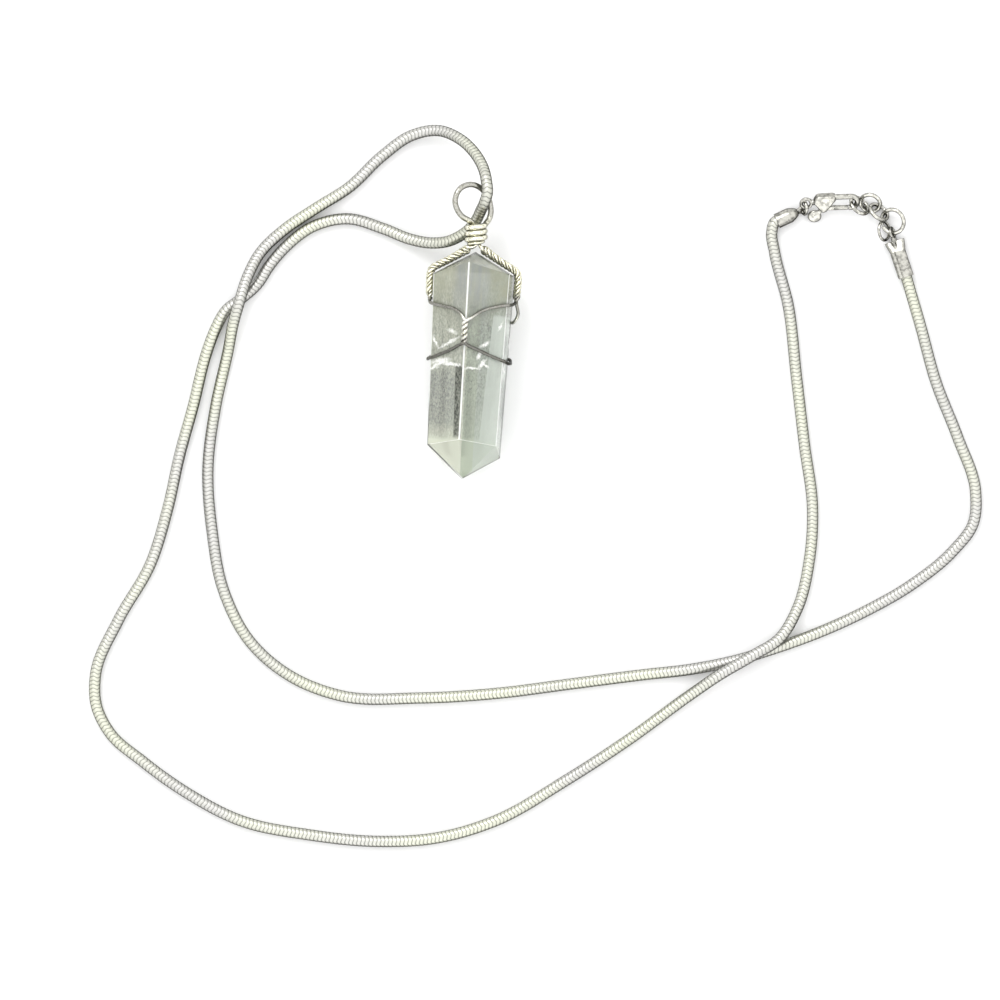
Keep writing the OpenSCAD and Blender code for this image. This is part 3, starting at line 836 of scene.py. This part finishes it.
def on_face(edge, part, height, lift=0.0):
    """A place over the face between one edge and the next, a part of the way across."""
    return (mix(on_edge(edge, height), on_edge((edge + 1) % 6, height), part)
            + (WIRE_OFF + lift) * out(edge_angle(edge) + np.radians(30)))


def twist(edge, start, turn):
    """One wire's helix over one of the crystal's edges, from top to bottom: it circles
    round a line that lies outside the edge by the helix's radius and the wire's gap."""
    part = np.linspace(0, 1, TURN_STEPS * TWIST_TURNS + 1)
    angle = np.radians(start + turn * part)[:, None]
    line = on_edge(edge, mix(TWIST_TOP, TWIST_LOW, part))
    across, outward = out(edge_angle(edge) + np.pi / 2), out(edge_angle(edge))
    return (line + (TWIST_RADIUS + WIRE_OFF) * outward
            + TWIST_RADIUS * (np.cos(angle) * across + np.sin(angle) * outward))


def cage(bow, drop):
    """The left wire: down the rope, over the front, round the right side to the back,
    and up the rope again. A slack wire bulges by bow and starts lower by drop."""
    full = 360 * TWIST_TURNS
    return np.vstack([
        strand(0),
        [(-5.28 - bow / 4, 21.98 - drop / 10, 0.98), (-5.24 - bow, 21.74 - drop / 2, 1.2),
         (-5.2 - bow / 2, 21.7 - drop * 0.85, 1.6)],
        round_edge(5, 21.64 - drop, -0.03),
        [on_face(5, 0.33, 21.4 - drop * 0.8), on_face(5, 0.74, 21.1 - drop * 0.5),
         on_face(5, 0.9, 20.6 - drop * 0.2)],
        twist(0, 270, full),
        [on_face(0, 0.12, 16.8), on_face(0, 0.45, 16.1), on_face(0, 0.8, 15.42)],
        round_edge(1, 15.05, -0.04),
        round_edge(2, 14.8, 0.03),
        [on_face(2, 0.3, 15.4), on_face(2, 0.65, 16.2), on_face(2, 0.9, 16.8, 0.35)],
        twist(3, 70, full + 40)[::-1],
        [on_face(3, 0.1, 20.35, 0.35), on_face(3, 0.35, 21.1), on_face(3, 0.8, 21.8)],
        round_edge(4, 21.93, 0),
        [(-5.1, 21.96, -0.55), (-5.25, 22.04, 0)],
        strand(np.pi)[::-1]])


def in_bundle(angle, heights):
    """The end of a wire that stands inside the neck's coil."""
    angle = np.radians(angle)
    across, depth = BUNDLE_RADIUS * np.cos(angle), BUNDLE_RADIUS * np.sin(angle)
    return in_neck([(across, height, depth) for height in heights])


def wrap_path(path, first_angle, last_angle):
    """A wire's whole path, from its one end inside the neck to the other."""
    whole = np.vstack([in_bundle(first_angle, BUNDLE_HEIGHTS), path,
                       in_bundle(last_angle, BUNDLE_HEIGHTS[::-1])])
    return in_pendant(smooth(whole, steps=3))


class NECKLACE_OT_wires(bpy.types.Operator):
    """Make the bail, its neck, the two wires of the cage and the finer wires in them"""
    bl_idname = "necklace.wires"
    bl_label = "Wire Cage and Bail"

    def execute(self, context):
        sizes = context.scene.necklace_wire
        silver = wire_finish("wire_silver", sizes.color, roughness=0.14, wear=0.16)
        half_turn = np.array([-1, 1, -1])
        paths = (
            ("wire_bail", "bail", bail_path(), sizes.bail),
            ("wire_cage_left", "wrap_wire_left",
             wrap_path(cage(bow=0, drop=0), 90, -90), sizes.cage),
            ("wire_cage_right", "wrap_wire_right",
             wrap_path(cage(bow=0.4, drop=2.2) * half_turn, -30, 30), sizes.cage))
        for name, node, path, thickness in paths:
            grid = tube(path, thickness / 2, WIRE_SIDES, first=(1, 0, 0))
            piece(name, grid_mesh(name, grid), silver, [node])
        for side, turn in (("left", 1), ("right", half_turn)):
            for place, phase in (("outer", np.pi / 2), ("inner", 3 * np.pi / 2)):
                points = strand(phase, FILL_LIFT)[FILL_FROM:-FILL_TO] * turn
                path = in_pendant(smooth(points, steps=3))
                name = "rope_" + side + "_" + place
                grid = tube(path, MM * FILL_THICKNESS / 2, WIRE_SIDES, first=(1, 0, 0))
                piece(name, grid_mesh(name, grid), silver, [])
        grid = tube(binding_path(), sizes.cage / 2, WIRE_SIDES, first=(0, 1, 0))
        piece("neck_binding", grid_mesh("neck_binding", grid), silver, [])
        return {"FINISHED"}


# Each ring's middle in millimetres, tilt from lying flat and the way it tilts in
# degrees, radius of the wire's centre line and thickness of the wire
RINGS = {
    "ring_eye": ((32.93, 34.27, 1.37), 67, -173, 0.8, 0.42),
    "ring_hook": ((39.74, 34.51, 1.35), 53, 48, 1.225, 0.49),
    "ring_second": ((41.07, 34.82, 1.02), 36, -108, 1.225, 0.49),
    "ring_third": ((42.12, 33.73, 1.26), 55, 51, 1.225, 0.49),
    "ring_end": ((43.81, 32.59, 1.22), 27, -152, 1.475, 0.49),
    "ring_spare": ((42.75, 31.42, 1.17), 56, 4, 1.15, 0.36),
}
# The gap between a ring's two ends, in degrees, and the sides of its wire
RING_OPENING = 8
RING_SIDES = 16


class NECKLACE_OT_rings(bpy.types.Operator):
    """Make the jump rings that join the clasp to the chain's ends"""
    bl_idname = "necklace.rings"
    bl_label = "Jump Rings"

    def execute(self, context):
        color = context.scene.necklace_wire.color
        silver = silver_finish("ring_silver", color, roughness=0.12, wear=0.14)
        for node, (middle, tilt, toward, radius, thickness) in RINGS.items():
            path = ring_path(MM * np.array(middle), np.radians(tilt), np.radians(toward),
                             MM * radius, np.radians(RING_OPENING))
            grid = tube(path, MM * thickness / 2, RING_SIDES, first=(0, 0, 1),
                        round_ends=False)
            name = "jump_" + node
            piece(name, grid_mesh(name, grid), silver, [node])
        return {"FINISHED"}


# The size of the even squares that cover a casting, how many times it is relaxed, and
# how bright its silver is beside the wire's
CASTING_VOXEL = 0.04 * MM
CASTING_ROUNDS = 6
CASTING_TONE = 0.75


def casting(node):
    """The CAD node's shape with its edges rounded as in a small casting: it is covered
    with even squares and relaxed a few times. That is done at a thousand times the
    size, because the squares would be too small otherwise."""
    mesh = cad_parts[node].data.copy()
    mesh.transform(Matrix.Scale(1 / MM, 4))
    shell = bmesh.new()
    shell.from_mesh(mesh)
    bmesh.ops.remove_doubles(shell, verts=shell.verts, dist=1e-4)
    shell.to_mesh(mesh)
    shell.free()
    form = bpy.data.objects.new("form", mesh)
    bpy.context.scene.collection.objects.link(form)
    cover = form.modifiers.new("cover", "REMESH")
    cover.mode = "VOXEL"
    cover.voxel_size = CASTING_VOXEL / MM
    relax = form.modifiers.new("relax", "SMOOTH")
    relax.iterations = CASTING_ROUNDS
    finished = form.evaluated_get(bpy.context.evaluated_depsgraph_get())
    made = bpy.data.meshes.new_from_object(finished)
    bpy.data.objects.remove(form)
    made.transform(Matrix.Scale(MM, 4))
    made.materials.clear()
    made.polygons.foreach_set("use_smooth", np.ones(len(made.polygons), dtype=bool))
    return made


class NECKLACE_OT_clasp(bpy.types.Operator):
    """Make the claw clasp, its lever and the chain's two end caps"""
    bl_idname = "necklace.clasp"
    bl_label = "Clasp and End Caps"

    def execute(self, context):
        color = [CASTING_TONE * part for part in context.scene.necklace_wire.color]
        silver = silver_finish("clasp_silver", color, roughness=0.2, wear=0.15)
        for name, node, body in (
                ("claw_body", "clasp_body", NECKLACE),
                ("claw_lever", "clasp_lever", LEVER),
                ("crimp_left", "end_cap_left", NECKLACE),
                ("crimp_right", "end_cap_right", NECKLACE)):
            piece(name, casting(node), silver, [node], body)
        return {"FINISHED"}


# How wide the floor is and how far it lies below the necklace, the point that the
# camera looks at, and each soft light's place and width
FLOOR_SIZE = 4.0
FLOOR_DROP = 0.02 * MM
VIEW_MIDDLE = (-4.36 * MM, -1.6 * MM, 0.8 * MM)
FRONT_PLACE, FRONT_WIDTH = (0.02, -0.9, 0.36), 0.3
KEY_PLACE, KEY_WIDTH = (-0.3, 0.7, 0.95), 0.4


class NECKLACE_OT_stage(bpy.types.Operator):
    """Make the floor, the soft lights and the camera straight above"""
    bl_idname = "necklace.stage"
    bl_label = "Floor, Light and Camera"

    def execute(self, context):
        sizes = context.scene.necklace_stage
        floor_material = Finish("floor").surface(
            Base_Color=opaque(sizes.floor), Roughness=0.9, Specular_IOR_Level=0.1)
        bpy.ops.mesh.primitive_plane_add(size=FLOOR_SIZE, location=(0, 0, -FLOOR_DROP))
        floor = context.object
        floor.name = "floor"
        floor.data.materials.append(floor_material)
        lens = bpy.data.cameras.new("camera")
        lens.lens = sizes.lens
        lens.clip_start = 0.01
        camera = bpy.data.objects.new("camera", lens)
        context.scene.collection.objects.link(camera)
        across, up, height = VIEW_MIDDLE
        height += sizes.width * sizes.lens / lens.sensor_width
        camera.location = (across, up, height)
        context.scene.camera = camera
        area_light(context, "front", FRONT_PLACE, FRONT_WIDTH, sizes.front)
        area_light(context, "key", KEY_PLACE, KEY_WIDTH, sizes.key)
        context.scene.world = studio_sky("studio_sky", sizes.sky)
        context.scene.view_settings.view_transform = "Standard"
        return {"FINISHED"}


def studio_sky(name, strength):
    """A soft light box overhead: bright above, darkest a little over the horizon."""
    sky = Finish(name, "worlds")
    _, _, height = sky.parts(sky.node("ShaderNodeTexCoord", output="Generated"))
    tone = sky.ramp(height, [(0.0, (0.5, 0.5, 0.51, 1)), (0.1, (0.4, 0.4, 0.4, 1)),
                             (0.3, (0.7, 0.7, 0.7, 1)), (0.6, (1, 1, 1, 1))])
    light = sky.node("ShaderNodeBackground", {}, {"Color": tone, "Strength": strength})
    sky.node("ShaderNodeOutputWorld", {}, {"Surface": light})
    return sky.material


def area_light(context, name, place, size, power):
    """A square soft light that faces the middle of the floor."""
    light = bpy.data.lights.new(name, "AREA")
    light.size = size
    light.energy = power
    made = bpy.data.objects.new(name, light)
    context.scene.collection.objects.link(made)
    made.location = place
    made.rotation_euler = Vector(place).to_track_quat("Z", "Y").to_euler()


class NECKLACE_PT_panel(bpy.types.Panel):
    """The steps that make the necklace, in order"""
    bl_label = "Quartz Crystal Necklace"
    bl_idname = "NECKLACE_PT_panel"
    bl_space_type = "VIEW_3D"
    bl_region_type = "UI"
    bl_category = "Necklace"

    def draw(self, context):
        for step in STEPS:
            self.layout.operator(step.bl_idname)
        for group in GROUPS:
            sizes = getattr(context.scene, group)
            for key in sizes.bl_rna.properties.keys():
                if key not in ("rna_type", "name"):
                    self.layout.prop(sizes, key)


GROUPS = {
    "necklace_chain": ChainSettings,
    "necklace_crystal": CrystalSettings,
    "necklace_wire": WireSettings,
    "necklace_stage": StageSettings,
}
STEPS = (NECKLACE_OT_chain, NECKLACE_OT_crystal, NECKLACE_OT_wires, NECKLACE_OT_rings,
         NECKLACE_OT_clasp, NECKLACE_OT_stage)
CLASSES = (*GROUPS.values(), *STEPS, NECKLACE_PT_panel)


def register():
    for cls in CLASSES:
        bpy.utils.register_class(cls)
    for name, group in GROUPS.items():
        setattr(bpy.types.Scene, name, bpy.props.PointerProperty(type=group))


def unregister():
    for name in GROUPS:
        delattr(bpy.types.Scene, name)
    for cls in reversed(CLASSES):
        bpy.utils.unregister_class(cls)


def main():
    register()
    for step in STEPS:
        group, name = step.bl_idname.split(".")
        getattr(getattr(bpy.ops, group), name)()


if __name__ == "__main__":
    main()
